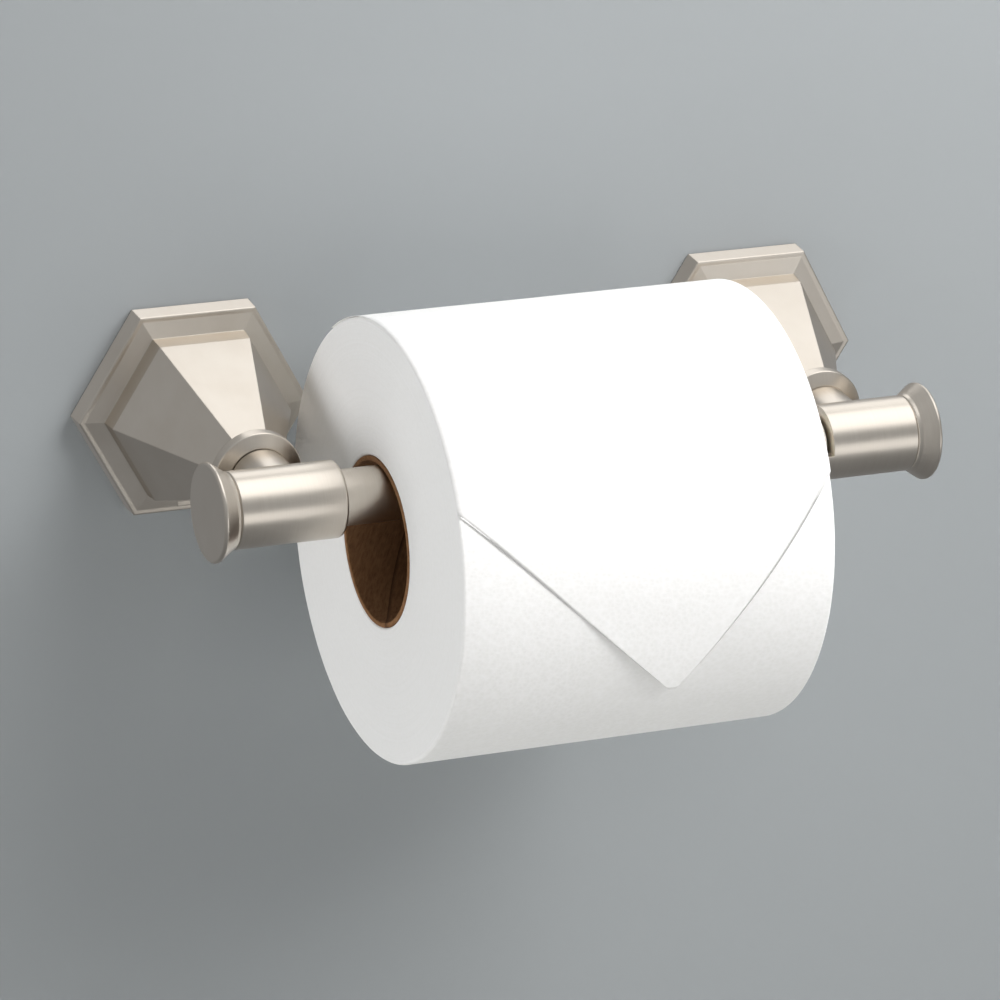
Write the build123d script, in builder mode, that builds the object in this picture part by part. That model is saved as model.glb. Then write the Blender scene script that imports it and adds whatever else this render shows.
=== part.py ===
"""Two-post wall toilet paper holder with a pivoting arm and a roll of paper on it.

Frame: origin on the wall, midway between the posts at the height of their axes.
+X runs along the arm, +Y into the wall, +Z up. Depths are measured out from the wall, along -Y.
"""

from build123d import *
from math import cos, radians, sin
import os

os.makedirs("parts", exist_ok=True)

# Driving dimensions, in millimetres and degrees
post_spacing = 158.7
reach = 70.4  # wall to the centre of the arm

# Hexagonal posts: circumscribed radii and depths, from the wall out
flange_radius = 32.0
flange_thickness = 6.0
flange_draft = 2.0
band_outer_radius = 31.2
step_radius = 25.2
step_foot_depth = 7.0
step_top_radius = 24.65
step_top_depth = 11.8
nose_radius = 7.6
nose_depth = 48.8
edge_radius = 0.45
rim_wall = 3.2
casting_wall = 3.4
flange_wall = 2.4  # metal left in front of the room behind the flange
step_wall = 1.2
nose_wall = 2.4
boss_clearance = 2.6  # set screw boss to the bracket above it
boss_width = 8.0
boss_depth = 5.8

# Turned collar, and the neck that leaves it
collar_radius = 11.9
collar_thickness = 3.2
collar_cone_height = 1.2
collar_mouth_radius = 8.4
collar_rim_fillet = 0.5
neck_radius = 8.1
pivot_gap = 0.3
spigot_radius = 3.6
spigot_end_depth = 31.9
nose_bore_radius = 4.8
nose_inner_depth = 33.0
stud_radius = 3.0

# Barrels, end caps and rod
barrel_radius = 9.93
barrel_inner_x = 65.6
barrel_outer_x = 94.3
barrel_end_fillet = 0.9
cap_rim_x = 99.0
cap_face_x = 99.9
cap_rim_radius = 12.76
cap_spigot_length = 7.0
cap_spigot_lead = 0.3
cap_foot_x = 95.4
cap_foot_radius = 10.28
cap_face_fillet = 0.7
groove = 0.3
rod_radius = 7.24
rod_wall = 1.2
rod_left_x = -86.5
rod_right_x = 67.4
rod_tip_x = 69.0
plug_length = 8.0
plug_tip_fillet = 0.6

# Open cradle in the right barrel, where the rod's end rests
rest_inner_x = 66.6
rest_outer_x = 69.6
rest_pad_thickness = 0.8
rest_pad_inset = 0.3

# Roll of paper
roll_left_x = -54.1
roll_width = 101.4
roll_radius = 57.0
roll_rim_fillet = 1.0
core_inner_radius = 20.67
core_wall = 1.3
tail_thickness = 0.52
tail_gap = 0.08
tail_tip_x = 6.2
tail_tip_angle = -26.5
tail_fold_angle = 28.7
tail_start_angle = 128.0

# Hardware
running_gap = 0.05
slip_gap = 0.02
contact_gap = 0.2
bracket_width = 16.0
bracket_height = 33.2
bracket_thickness = 5.0
bracket_bevel = -12.0
wall_screw_offset = 11.0
wall_screw_radius = 2.1
wall_screw_length = 25.0
wall_screw_head_radius = 4.3
wall_screw_head_depth = 4.9
wall_screw_hole_radius = 3.3  # wide enough to level the bracket on its screws
thread_start = 10.0
thread_pitch = 1.6
thread_depth = 0.5
thread_runout = 3.0
recess_length = 4.4
recess_width = 0.9
recess_depth = 1.5
set_screw_radius = 2.0
set_screw_depth = 3.4
set_screw_inset = 0.6
set_screw_point = 0.9
socket_radius = 1.15
socket_depth = 2.4
neck_screw_radius = 1.7
neck_screw_length = 12.0
neck_screw_head_radius = 3.8
neck_screw_head_height = 2.4
neck_screw_head_fillet = 1.1
washer_thickness = 1.0
friction_washer_radius = 6.8
pivot_washer_radius = 7.2
lock_washer_radius = 7.0
bracket_hole_radius = 4.0
stud_overlap = 1.5  # stud's length inside the rod's wall
bore_start = 1.0

left_x = -post_spacing / 2
flange_flat_radius = flange_radius * cos(radians(30))
wall_screw_sink_radius = wall_screw_head_radius + contact_gap
right_x = post_spacing / 2
roll_right_x = roll_left_x + roll_width
roll_drop = core_inner_radius - rod_radius - contact_gap
collar_front_depth = nose_depth + collar_thickness
collar_mouth_depth = collar_front_depth + collar_cone_height
arm_axis = Axis((0, -reach, 0), (1, 0, 0))
roll_axis = Axis((0, -reach, -roll_drop), (1, 0, 0))


def wall_plane(x, depth):
    """Plane parallel to the wall, facing out from it, with local Y up."""
    return Plane(origin=(x, -depth, 0), x_dir=(1, 0, 0), z_dir=(0, -1, 0))


def post_axis(x):
    return Axis((x, 0, 0), (0, -1, 0))


def post_profile(x, points):
    """Points given as (radius, depth) about a post's axis."""
    return [(x + radius, -depth) for radius, depth in points]


def arm_profile(points):
    """Points given as (x, radius) about the arm's axis."""
    return [(x, -reach - radius) for x, radius in points]


def save(piece, name):
    piece.label = name
    export_step(piece, f"parts/{name}.step")


def make_post(x):
    """Hollow hexagonal casting: flange, raised step and tall pyramid with a bored nose."""
    with BuildPart() as post:
        with BuildSketch(wall_plane(x, 0)):
            RegularPolygon(flange_radius, 6)
        extrude(amount=flange_thickness, taper=flange_draft)
        fillet(post.faces().sort_by(Axis.Y)[0].edges(), radius=edge_radius)
        with BuildSketch(wall_plane(x, flange_thickness - 0.2)):
            RegularPolygon(band_outer_radius, 6)
        with BuildSketch(wall_plane(x, step_foot_depth)):
            RegularPolygon(step_radius, 6)
        loft()
        with BuildSketch(wall_plane(x, step_foot_depth)):
            RegularPolygon(step_radius, 6)
        with BuildSketch(wall_plane(x, step_top_depth)):
            RegularPolygon(step_top_radius, 6)
        loft()
        with BuildSketch(wall_plane(x, step_top_depth)):
            RegularPolygon(step_top_radius, 6)
        with BuildSketch(wall_plane(x, nose_depth)):
            RegularPolygon(nose_radius, 6)
        loft()
        # Hollow back, one room behind each of the three outer forms
        with BuildSketch(wall_plane(x, 0)):
            RegularPolygon(flange_radius - rim_wall, 6)
        extrude(amount=flange_thickness - flange_wall, mode=Mode.SUBTRACT)
        with BuildSketch(wall_plane(x, 0)):
            RegularPolygon(step_radius - casting_wall, 6)
        extrude(amount=step_foot_depth + step_wall, mode=Mode.SUBTRACT)
        with BuildSketch(wall_plane(x, step_foot_depth + step_wall)):
            RegularPolygon(step_radius - casting_wall, 6)
        with BuildSketch(wall_plane(x, nose_inner_depth)):
            RegularPolygon(nose_radius + nose_wall, 6)
        loft(mode=Mode.SUBTRACT)
        with BuildSketch(wall_plane(x, nose_inner_depth)):
            Circle(nose_bore_radius)
        extrude(amount=nose_depth - nose_inner_depth, mode=Mode.SUBTRACT)
        # Boss that carries the set screw, under the bracket
        boss_top = bracket_height / 2 + boss_clearance
        boss_foot = flange_flat_radius - rim_wall / 2
        with BuildSketch(Plane.XY.offset(-boss_foot)):
            with Locations((x, -set_screw_depth)):
                Rectangle(boss_width, boss_depth)
        extrude(amount=boss_foot - boss_top)
        with BuildSketch(Plane.XY.offset(-flange_radius)):
            with Locations((x, -set_screw_depth)):
                Circle(set_screw_radius + slip_gap)
        extrude(amount=flange_radius - bracket_height / 2, mode=Mode.SUBTRACT)
    return post.part


def make_collar(x):
    """Turned ring between the post's nose and the neck, with a shallow conical face."""
    outline = [
        (nose_bore_radius, nose_depth),
        (collar_radius, nose_depth),
        (collar_radius, collar_front_depth),
        (collar_mouth_radius, collar_mouth_depth),
        (nose_bore_radius, collar_mouth_depth),
    ]
    with BuildPart() as collar:
        with BuildSketch(Plane.XY):
            with BuildLine():
                Polyline(*post_profile(x, outline), close=True)
            make_face()
        revolve(axis=post_axis(x))
        rims = collar.edges().filter_by(GeomType.CIRCLE).group_by(SortBy.RADIUS)[-1]
        fillet(rims, radius=collar_rim_fillet)
    return collar.part


def make_bracket(x):
    """Bevelled wall bracket with two countersunk holes, one above the other."""
    with BuildPart() as bracket:
        with BuildSketch(wall_plane(x, 0)):
            SlotOverall(bracket_height, bracket_width, rotation=90)
        extrude(amount=bracket_thickness, taper=bracket_bevel)
        front = wall_plane(x, bracket_thickness)
        with Locations(front):
            with Locations((0, wall_screw_offset), (0, -wall_screw_offset)):
                CounterSinkHole(wall_screw_hole_radius, wall_screw_sink_radius, counter_sink_angle=90)
        with BuildSketch(wall_plane(x, 0)):
            Circle(bracket_hole_radius)
        extrude(amount=bracket_thickness, mode=Mode.SUBTRACT)
    return bracket.part


def make_bracket_screws(x):
    """Two countersunk wood screws: flush head, smooth shank, ringed thread and point."""
    thread_root = wall_screw_radius - thread_depth
    outline = [
        (0, wall_screw_head_depth),
        (wall_screw_head_radius, wall_screw_head_depth),
        (wall_screw_radius, wall_screw_head_depth - wall_screw_head_radius + wall_screw_radius),
        (wall_screw_radius, -thread_start),
    ]
    turns = int((wall_screw_length - thread_start - thread_runout) / thread_pitch)
    for turn in range(turns):
        crest = thread_start + turn * thread_pitch
        outline.append((thread_root, -crest - thread_depth))
        outline.append((thread_root, -crest - thread_pitch + thread_depth))
        outline.append((wall_screw_radius, -crest - thread_pitch))
    outline.append((0, -wall_screw_length))
    with BuildPart() as screws:
        with BuildSketch(Plane.XY.offset(wall_screw_offset)):
            with BuildLine():
                Polyline(*post_profile(x, outline), close=True)
            make_face()
        revolve(axis=Axis((x, 0, wall_screw_offset), (0, -1, 0)))
        with BuildSketch(wall_plane(x, wall_screw_head_depth)):
            with Locations((0, wall_screw_offset)):
                Rectangle(recess_length, recess_width)
                Rectangle(recess_width, recess_length)
        extrude(amount=-recess_depth, mode=Mode.SUBTRACT)
        mirror(about=Plane.XY)
    return screws.part


def make_set_screw(x):
    """Socket set screw, driven up through the flange against the bracket's bevel."""
    foot = set_screw_inset - flange_flat_radius
    tip = -bracket_height / 2 - set_screw_point
    with BuildPart() as set_screw:
        with BuildSketch(Plane.XY.offset(foot)):
            with Locations((x, -set_screw_depth)):
                Circle(set_screw_radius)
        extrude(amount=tip - foot)
        chamfer(set_screw.edges().sort_by(Axis.Z)[-1], length=set_screw_point)
        with BuildSketch(Plane.XY.offset(foot)):
            with Locations((x, -set_screw_depth)):
                RegularPolygon(socket_radius, 6)
        extrude(amount=socket_depth, mode=Mode.SUBTRACT)
    return set_screw.part


def make_neck(x, foot_depth, spigot, spigot_end):
    """Round neck with a spigot into the post and a stud into the barrel."""
    outline = [
        (0, spigot_end),
        (spigot, spigot_end),
        (spigot, foot_depth),
        (neck_radius, foot_depth),
        (neck_radius, reach),
        (0, reach),
    ]
    with BuildPart() as neck:
        with BuildSketch(Plane.XY):
            with BuildLine():
                Polyline(*post_profile(x, outline), close=True)
            make_face()
        revolve(axis=post_axis(x))
        with BuildSketch(Plane.YZ.offset(x - 2 * neck_radius)):
            with Locations((-reach, 0)):
                Circle(barrel_radius)
        extrude(amount=4 * neck_radius, mode=Mode.SUBTRACT)
        with BuildSketch(wall_plane(x, foot_depth)):
            Circle(stud_radius)
        extrude(amount=reach - rod_radius + rod_wall + stud_overlap - foot_depth)
        with BuildSketch(wall_plane(x, spigot_end_depth)):
            Circle(neck_screw_radius)
        extrude(amount=neck_screw_length + washer_thickness, mode=Mode.SUBTRACT)
    return neck.part


def make_neck_screw(x, seat_depth):
    """Pan-head screw that draws the neck into the post from inside it."""
    head_depth = seat_depth - neck_screw_head_height
    with BuildPart() as neck_screw:
        with BuildSketch(wall_plane(x, head_depth)):
            Circle(neck_screw_head_radius)
        extrude(amount=neck_screw_head_height)
        fillet(neck_screw.edges().sort_by(Axis.Y)[-1], radius=neck_screw_head_fillet)
        with BuildSketch(wall_plane(x, seat_depth)):
            Circle(neck_screw_radius - slip_gap)
        extrude(amount=neck_screw_length)
        with BuildSketch(wall_plane(x, head_depth)):
            Rectangle(recess_length, recess_width)
            Rectangle(recess_width, recess_length)
        extrude(amount=recess_depth, mode=Mode.SUBTRACT)
    return neck_screw.part


def make_ring(x, near_depth, far_depth, inner_radius, outer_radius):
    """Flat ring round a post's axis."""
    with BuildPart() as ring:
        with BuildSketch(wall_plane(x, near_depth)):
            Circle(outer_radius)
            Circle(inner_radius, mode=Mode.SUBTRACT)
        extrude(amount=far_depth - near_depth)
    return ring.part


def make_end_cap(side):
    """Flared cap with a flat face and a spigot pressed into the barrel."""
    spigot_x = barrel_outer_x - cap_spigot_length
    outline = [
        (side * spigot_x, 0),
        (side * spigot_x, rod_radius - cap_spigot_lead),
        (side * barrel_outer_x, rod_radius),
        (side * barrel_outer_x, barrel_radius - groove),
        (side * (barrel_outer_x + groove), barrel_radius),
        (side * cap_foot_x, cap_foot_radius),
        (side * cap_rim_x, cap_rim_radius),
        (side * cap_face_x, cap_rim_radius),
        (side * cap_face_x, 0),
    ]
    with BuildPart() as end_cap:
        with BuildSketch(Plane.XY):
            with BuildLine():
                Polyline(*arm_profile(outline), close=True)
            make_face()
        revolve(axis=arm_axis)
        rims = end_cap.edges().filter_by(GeomType.CIRCLE).group_by(SortBy.RADIUS)[-1]
        face_rim = rims.sort_by(Axis.X)[-1 if side > 0 else 0]
        fillet(face_rim, radius=cap_face_fillet)
    return end_cap.part


# Fixed pieces that both posts share
for side, x in (("left", left_x), ("right", right_x)):
    save(make_post(x), f"{side}_post")
    save(make_collar(x), f"{side}_collar")
    save(make_bracket(x), f"{side}_wall_bracket")
    save(make_bracket_screws(x), f"{side}_bracket_screws")
    save(make_set_screw(x), f"{side}_set_screw")
save(make_end_cap(-1), "left_end_cap")
save(make_end_cap(1), "right_end_cap")

# Left pivot: the neck turns in a plastic bush and is held from inside the post
bush_bore = spigot_radius + running_gap
pivot_bush = make_ring(left_x, nose_inner_depth, collar_mouth_depth, bush_bore, nose_bore_radius)
friction_foot = spigot_end_depth + running_gap
friction_bore = spigot_radius + slip_gap
friction_washer = make_ring(left_x, friction_foot, nose_inner_depth, friction_bore, friction_washer_radius)
pivot_neck_foot = collar_mouth_depth + pivot_gap
pivot_seat = spigot_end_depth - washer_thickness
pivot_washer = make_ring(left_x, pivot_seat, spigot_end_depth, neck_screw_radius, pivot_washer_radius)
save(pivot_bush, "pivot_bush")
save(friction_washer, "friction_washer")
save(make_neck(left_x, pivot_neck_foot, spigot_radius, spigot_end_depth), "pivot_neck")
save(pivot_washer, "pivot_washer")
save(make_neck_screw(left_x, pivot_seat), "pivot_screw")

# Right neck: the same neck, fixed in its post
right_spigot_radius = nose_bore_radius - slip_gap
right_spigot_end = nose_inner_depth + running_gap
lock_seat = nose_inner_depth - washer_thickness
lock_bore = neck_screw_radius + running_gap
right_lock_washer = make_ring(right_x, lock_seat, nose_inner_depth, lock_bore, lock_washer_radius)
save(make_neck(right_x, collar_mouth_depth, right_spigot_radius, right_spigot_end), "right_neck")
save(right_lock_washer, "right_lock_washer")
save(make_neck_screw(right_x, lock_seat), "right_neck_screw")

# Left barrel, bored right through for the rod
with BuildPart() as left_barrel:
    with BuildSketch(Plane.YZ.offset(-barrel_outer_x)):
        with Locations((-reach, 0)):
            Circle(barrel_radius)
            Circle(rod_radius + slip_gap, mode=Mode.SUBTRACT)
    extrude(amount=barrel_outer_x - barrel_inner_x)
    outer_edges = left_barrel.edges().filter_by(GeomType.CIRCLE).group_by(SortBy.RADIUS)[-1]
    fillet(outer_edges.sort_by(Axis.X)[-1], radius=barrel_end_fillet)
    outer_edges = left_barrel.edges().filter_by(GeomType.CIRCLE).group_by(SortBy.RADIUS)[-1]
    chamfer(outer_edges.sort_by(Axis.X)[0], length=groove)
    with BuildSketch(wall_plane(left_x, reach - barrel_radius - bore_start)):
        Circle(stud_radius + slip_gap)
    extrude(amount=barrel_radius - bore_start, mode=Mode.SUBTRACT)
save(left_barrel.part, "left_barrel")

# Right barrel, with an open-topped cradle in its inner end
with BuildPart() as right_barrel:
    with BuildSketch(Plane.YZ.offset(rest_inner_x)):
        with Locations((-reach, 0)):
            Circle(barrel_radius)
    extrude(amount=barrel_outer_x - rest_inner_x)
    chamfer(right_barrel.edges().sort_by(Axis.X)[-1], length=groove)
    fillet(right_barrel.edges().sort_by(Axis.X)[0], radius=barrel_end_fillet)
    cradle_radius = rod_radius + running_gap + rest_pad_thickness
    with BuildSketch(Plane.YZ.offset(rest_inner_x)):
        with Locations((-reach, 0)):
            Circle(cradle_radius)
        with Locations((-reach, barrel_radius)):
            Rectangle(2 * barrel_radius, 2 * barrel_radius)
    extrude(amount=rest_outer_x - rest_inner_x, mode=Mode.SUBTRACT)
    with BuildSketch(Plane.YZ.offset(barrel_outer_x)):
        with Locations((-reach, 0)):
            Circle(rod_radius + slip_gap)
    extrude(amount=-cap_spigot_length - contact_gap, mode=Mode.SUBTRACT)
    with BuildSketch(wall_plane(right_x, reach - barrel_radius - bore_start)):
        Circle(stud_radius + slip_gap)
    extrude(amount=barrel_radius - bore_start, mode=Mode.SUBTRACT)
save(right_barrel.part, "right_barrel")

# Thin plastic lining of the cradle
with BuildPart() as rest_pad:
    with BuildSketch(Plane.YZ.offset(rest_inner_x + rest_pad_inset)):
        with Locations((-reach, 0)):
            Circle(cradle_radius)
            Circle(rod_radius + running_gap, mode=Mode.SUBTRACT)
        with Locations((-reach, barrel_radius - contact_gap)):
            Rectangle(2 * barrel_radius, 2 * barrel_radius, mode=Mode.SUBTRACT)
    extrude(amount=rest_outer_x - rest_inner_x - rest_pad_inset)
save(rest_pad.part, "rest_pad")

# Tubular rod and the plug in its free end
with BuildPart() as arm_rod:
    with BuildSketch(Plane.YZ.offset(rod_left_x)):
        with Locations((-reach, 0)):
            Circle(rod_radius)
            Circle(rod_radius - rod_wall, mode=Mode.SUBTRACT)
    extrude(amount=rod_right_x - rod_left_x)
    with BuildSketch(wall_plane(left_x, reach - rod_radius - bore_start)):
        Circle(stud_radius + slip_gap)
    extrude(amount=rod_wall + 2 * bore_start, mode=Mode.SUBTRACT)
save(arm_rod.part, "arm_rod")

with BuildPart() as rod_end_plug:
    with BuildSketch(Plane.YZ.offset(rod_right_x)):
        with Locations((-reach, 0)):
            Circle(rod_radius)
    extrude(amount=rod_tip_x - rod_right_x)
    fillet(rod_end_plug.edges().sort_by(Axis.X)[-1], radius=plug_tip_fillet)
    with BuildSketch(Plane.YZ.offset(rod_right_x)):
        with Locations((-reach, 0)):
            Circle(rod_radius - rod_wall - slip_gap)
    extrude(amount=-plug_length)
save(rod_end_plug.part, "rod_end_plug")

# Roll: cardboard core, wound paper and the loose tail folded to a point
core_radius = core_inner_radius + core_wall
with BuildPart() as cardboard_core:
    with BuildSketch(Plane.YZ.offset(roll_left_x)):
        with Locations((-reach, -roll_drop)):
            Circle(core_radius)
            Circle(core_inner_radius, mode=Mode.SUBTRACT)
    extrude(amount=roll_width)
save(cardboard_core.part, "cardboard_core")

with BuildPart() as paper_roll:
    with BuildSketch(Plane.YZ.offset(roll_left_x)):
        with Locations((-reach, -roll_drop)):
            Circle(roll_radius)
            Circle(core_radius + slip_gap, mode=Mode.SUBTRACT)
    extrude(amount=roll_width)
    paper_rims = paper_roll.edges().filter_by(GeomType.CIRCLE).group_by(SortBy.RADIUS)[-1]
    fillet(paper_rims, radius=roll_rim_fillet)
save(paper_roll.part, "paper_roll")

tail_inner_radius = roll_radius + tail_gap
tail_outer_radius = tail_inner_radius + tail_thickness
cut_margin = 5.0


def tail_point(radius, angle):
    """Point of the roll's section, with the angle measured up from straight out of the wall."""
    return (-reach - radius * cos(radians(angle)), -roll_drop + radius * sin(radians(angle)))


def tail_arc(radius):
    """Tip, middle and start of the tail at that radius."""
    middle_angle = (tail_tip_angle + tail_start_angle) / 2
    return [tail_point(radius, angle) for angle in (tail_tip_angle, middle_angle, tail_start_angle)]


tail_outside = tail_arc(tail_outer_radius)
tail_inside = tail_arc(tail_inner_radius)
tail_fold_z = tail_point(tail_outer_radius, tail_fold_angle)[1]
tail_tip_z = tail_outside[0][1]
tail_cut_z = tail_tip_z - cut_margin
with BuildPart() as paper_tail:
    with BuildSketch(Plane.YZ.offset(roll_left_x)):
        with BuildLine():
            ThreePointArc(*tail_outside)
            Line(tail_outside[2], tail_inside[2])
            ThreePointArc(*tail_inside)
            Line(tail_inside[0], tail_outside[0])
        make_face()
    extrude(amount=roll_width)
    with BuildSketch(wall_plane(0, reach)):
        for rim_x, outside in ((roll_left_x, -cut_margin), (roll_right_x, cut_margin)):
            with BuildLine():
                Polyline(
                    (rim_x + outside, tail_fold_z),
                    (rim_x, tail_fold_z),
                    (tail_tip_x, tail_tip_z),
                    (tail_tip_x, tail_cut_z),
                    (rim_x + outside, tail_cut_z),
                    close=True,
                )
            make_face()
    extrude(amount=2 * roll_radius, mode=Mode.SUBTRACT)
save(paper_tail.part, "paper_tail")
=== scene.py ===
"""Looks of the two-post toilet paper holder: satin nickel, kraft core, wound tissue and its folded tail."""

import math

import bmesh
import bpy
from bpy.props import FloatProperty, FloatVectorProperty, IntProperty, PointerProperty
from mathutils import Matrix, Vector, noise


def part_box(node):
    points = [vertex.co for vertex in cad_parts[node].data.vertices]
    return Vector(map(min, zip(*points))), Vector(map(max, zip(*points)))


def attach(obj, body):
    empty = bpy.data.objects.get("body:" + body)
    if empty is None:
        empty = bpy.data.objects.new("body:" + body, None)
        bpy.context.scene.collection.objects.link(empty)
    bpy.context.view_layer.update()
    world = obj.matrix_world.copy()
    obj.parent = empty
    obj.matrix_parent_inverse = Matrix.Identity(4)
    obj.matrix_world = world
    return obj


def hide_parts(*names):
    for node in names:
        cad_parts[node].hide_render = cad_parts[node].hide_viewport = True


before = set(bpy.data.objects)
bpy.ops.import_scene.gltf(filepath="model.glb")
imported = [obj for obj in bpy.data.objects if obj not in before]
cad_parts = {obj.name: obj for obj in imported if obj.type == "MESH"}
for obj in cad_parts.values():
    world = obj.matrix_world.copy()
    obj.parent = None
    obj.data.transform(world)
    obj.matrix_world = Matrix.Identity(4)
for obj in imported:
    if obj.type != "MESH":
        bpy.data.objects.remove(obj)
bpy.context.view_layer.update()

bl_info = {
    "name": "Toilet paper holder",
    "version": (1, 0, 0),
    "blender": (4, 5, 0),
    "location": "View3D > Sidebar > Paper holder",
    "description": "Builds the finishes, the roll and the stage of a two-post toilet paper holder",
    "category": "Object",
}

ROLL_LOW, ROLL_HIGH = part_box("paper_roll")
CORE_LOW, CORE_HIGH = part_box("cardboard_core")
TAIL_LOW, TAIL_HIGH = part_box("paper_tail")
ROLL_CENTRE = (ROLL_LOW + ROLL_HIGH) / 2
ROLL_RADIUS = (ROLL_HIGH.z - ROLL_LOW.z) / 2
ROLL_WIDTH = ROLL_HIGH.x - ROLL_LOW.x
MM = 0.001

# The tail starts close to the wound paper, settles to lie a little off it, and leaves it near its front
TAIL_START_GAP, TAIL_GAP = 0.05 * MM, 0.28 * MM
TAIL_SETTLES, TAIL_LEAVES, TAIL_STEP = math.radians(16.0), math.radians(4.0), math.radians(1.0)
# Depth of each turned-under corner, left (-1) and right (1), reached a short way in from its crease
FOLD_DEPTHS = {-1: 0.08 * MM, 1: 0.14 * MM}
FOLD_RISE = 1.2 * MM
RIPPLE_ALONG, RIPPLE_DOWN, RIPPLE_SEED = 19.0 * MM, 12.0 * MM, 3.1

# The wall's face is just behind the posts' backs
WALL_Y = 0.4 * MM
REACH = 3.0
# Brightness of the room that the metal shows
ROOM_BELOW, ROOM_ABOVE = 0.20, 0.54


# Colours and nodes


def linear(code):
    """An sRGB hex code as linear red, green, blue and alpha."""
    values = [int(code[i : i + 2], 16) / 255 for i in (1, 3, 5)]
    return (*[v / 12.92 if v <= 0.04045 else ((v + 0.055) / 1.055) ** 2.4 for v in values], 1.0)


def add(tree, kind, inputs=None, **settings):
    """Adds a node with its settings, and sets or links its inputs."""
    node = tree.nodes.new(kind)
    for name, value in settings.items():
        setattr(node, name, value)
    for key, value in (inputs or {}).items():
        if isinstance(value, bpy.types.NodeSocket):
            tree.links.new(value, node.inputs[key])
        else:
            node.inputs[key].default_value = value
    return node


def start_material(name, **values):
    """A material with one Principled shader, its plain values set on the shader's own sockets."""
    material = bpy.data.materials.new(name)
    material.use_nodes = True
    tree = material.node_tree
    tree.nodes.clear()
    shader = add(tree, "ShaderNodeBsdfPrincipled", {k.replace("_", " "): v for k, v in values.items()})
    add(tree, "ShaderNodeOutputMaterial", {"Surface": shader.outputs["BSDF"]})
    return material, tree, shader


def scaled_place(tree, scale, centre=(0, 0, 0)):
    """Object coordinates, moved to a centre and scaled along each axis."""
    place = add(tree, "ShaderNodeTexCoord")
    moved = add(tree, "ShaderNodeVectorMath", {0: place.outputs["Object"], 1: centre}, operation="SUBTRACT")
    return add(tree, "ShaderNodeVectorMath", {0: moved.outputs[0], 1: scale}, operation="MULTIPLY").outputs[0]


def per_mm(size):
    """Pattern scale whose features are that many millimetres across."""
    return 1.0 / (size * MM)


def turned_nickel(colours):
    """Brass tube and turned castings, polished round on a lathe and plated in satin nickel: a soft
    warm metal whose fine grain runs round the arm and stretches each highlight along it."""
    material, tree, shader = start_material("satin_nickel_turned", Metallic=1.0)
    # Real grain is about 0.05 mm wide, drawn at 0.3 mm so that it shows
    grain_place = scaled_place(tree, (per_mm(0.30), per_mm(9.0), per_mm(9.0)))
    grain_values = {"Vector": grain_place, "Scale": 1.0, "Detail": 1.0, "Roughness": 0.4}
    grain = add(tree, "ShaderNodeTexNoise", grain_values)
    film_place = scaled_place(tree, (per_mm(14.0),) * 3)
    film = add(tree, "ShaderNodeTexNoise", {"Vector": film_place, "Scale": 1.0, "Detail": 2.0})
    mixed = add(tree, "ShaderNodeMath", {0: grain.outputs["Fac"], 1: film.outputs["Fac"]}, operation="ADD")
    gloss = add(tree, "ShaderNodeMapRange", {0: mixed.outputs[0], 1: 0.7, 2: 1.3, 3: 0.28, 4: 0.34})
    cloudy = add(tree, "ShaderNodeMapRange", {0: mixed.outputs[0], 1: 0.6, 2: 1.4}).outputs[0]
    tone = add(tree, "ShaderNodeMix", {0: cloudy, 6: colours["dark"], 7: colours["light"]}, data_type="RGBA")
    # Polishing and plating leave each edge rounded by about 0.3 mm
    edges = add(tree, "ShaderNodeBevel", {"Radius": 0.3 * MM}, samples=6).outputs[0]
    bump_values = {"Height": grain.outputs["Fac"], "Strength": 0.008, "Distance": 0.02 * MM, "Normal": edges}
    bump = add(tree, "ShaderNodeBump", bump_values)
    tree.links.new(tone.outputs[2], shader.inputs["Base Color"])
    tree.links.new(gloss.outputs[0], shader.inputs["Roughness"])
    tree.links.new(bump.outputs["Normal"], shader.inputs["Normal"])
    return material


def cast_nickel(colours):
    """Zinc castings, belt polished on each flat and plated in satin nickel: broad soft reflections,
    with a faint cloudiness and short polishing lines down the facets."""
    material, tree, shader = start_material("satin_nickel_cast", Metallic=1.0)
    lines_place = scaled_place(tree, (per_mm(0.45), per_mm(6.0), per_mm(6.0)))
    lines_values = {"Vector": lines_place, "Scale": 1.0, "Detail": 3.0, "Roughness": 0.6}
    lines = add(tree, "ShaderNodeTexNoise", lines_values)
    cloud_place = scaled_place(tree, (per_mm(11.0),) * 3)
    cloud = add(tree, "ShaderNodeTexNoise", {"Vector": cloud_place, "Scale": 1.0, "Detail": 3.0})
    mixed = add(tree, "ShaderNodeMath", {0: lines.outputs["Fac"], 1: cloud.outputs["Fac"]}, operation="ADD")
    gloss = add(tree, "ShaderNodeMapRange", {0: mixed.outputs[0], 1: 0.7, 2: 1.3, 3: 0.32, 4: 0.40})
    cloudy = add(tree, "ShaderNodeMapRange", {0: cloud.outputs["Fac"], 1: 0.3, 2: 0.7}).outputs[0]
    tone = add(tree, "ShaderNodeMix", {0: cloudy, 6: colours["dark"], 7: colours["light"]}, data_type="RGBA")
    # The belt and the plating leave each edge rounded by about 0.4 mm
    edges = add(tree, "ShaderNodeBevel", {"Radius": 0.4 * MM}, samples=6).outputs[0]
    bump_values = {"Height": lines.outputs["Fac"], "Strength": 0.02, "Distance": 0.02 * MM, "Normal": edges}
    bump = add(tree, "ShaderNodeBump", bump_values)
    tree.links.new(tone.outputs[2], shader.inputs["Base Color"])
    tree.links.new(gloss.outputs[0], shader.inputs["Roughness"])
    tree.links.new(bump.outputs["Normal"], shader.inputs["Normal"])
    return material


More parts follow.
